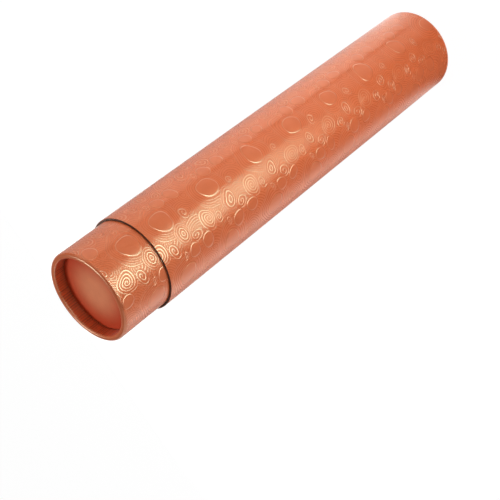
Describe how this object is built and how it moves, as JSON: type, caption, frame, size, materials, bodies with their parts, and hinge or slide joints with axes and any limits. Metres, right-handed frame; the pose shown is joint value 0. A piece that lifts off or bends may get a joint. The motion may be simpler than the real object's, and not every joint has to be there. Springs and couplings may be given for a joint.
{
  "type": "telescopic poster tube",
  "caption": "Round board tube in embossed copper paper; a wrapped inner tube slides out of the outer one, each closed by a disc set back in its rim, to carry a rolled poster.",
  "frame": {"origin": "centre of the outer tube's closed end, on the surface that it stands on", "axes": "+Z along the tubes' common axis, from the outer tube's closed end to the inner tube's closed end"},
  "size_m": [0.08, 0.08, 0.4428],
  "materials": {
    "grey_board": "raw cut grey-brown board",
    "embossed_copper_paper": "pearlescent copper paper, embossed with fine rings and flowing lines",
    "plain_copper_paper": "plain copper paper with a satin pearl sheen"
  },
  "bodies": {
    "outer": {"outer_tube": "grey_board", "outer_wrap": "embossed_copper_paper", "outer_end_disc": "plain_copper_paper"},
    "inner": {"inner_tube": "grey_board", "inner_wrap": "embossed_copper_paper", "inner_end_disc": "plain_copper_paper"}
  },
  "joints": [
    {"name": "telescope", "type": "slide", "parent": "outer", "child": "inner", "axis": [0, 0, 1], "range_m": [0, 0.45]}
  ]
}
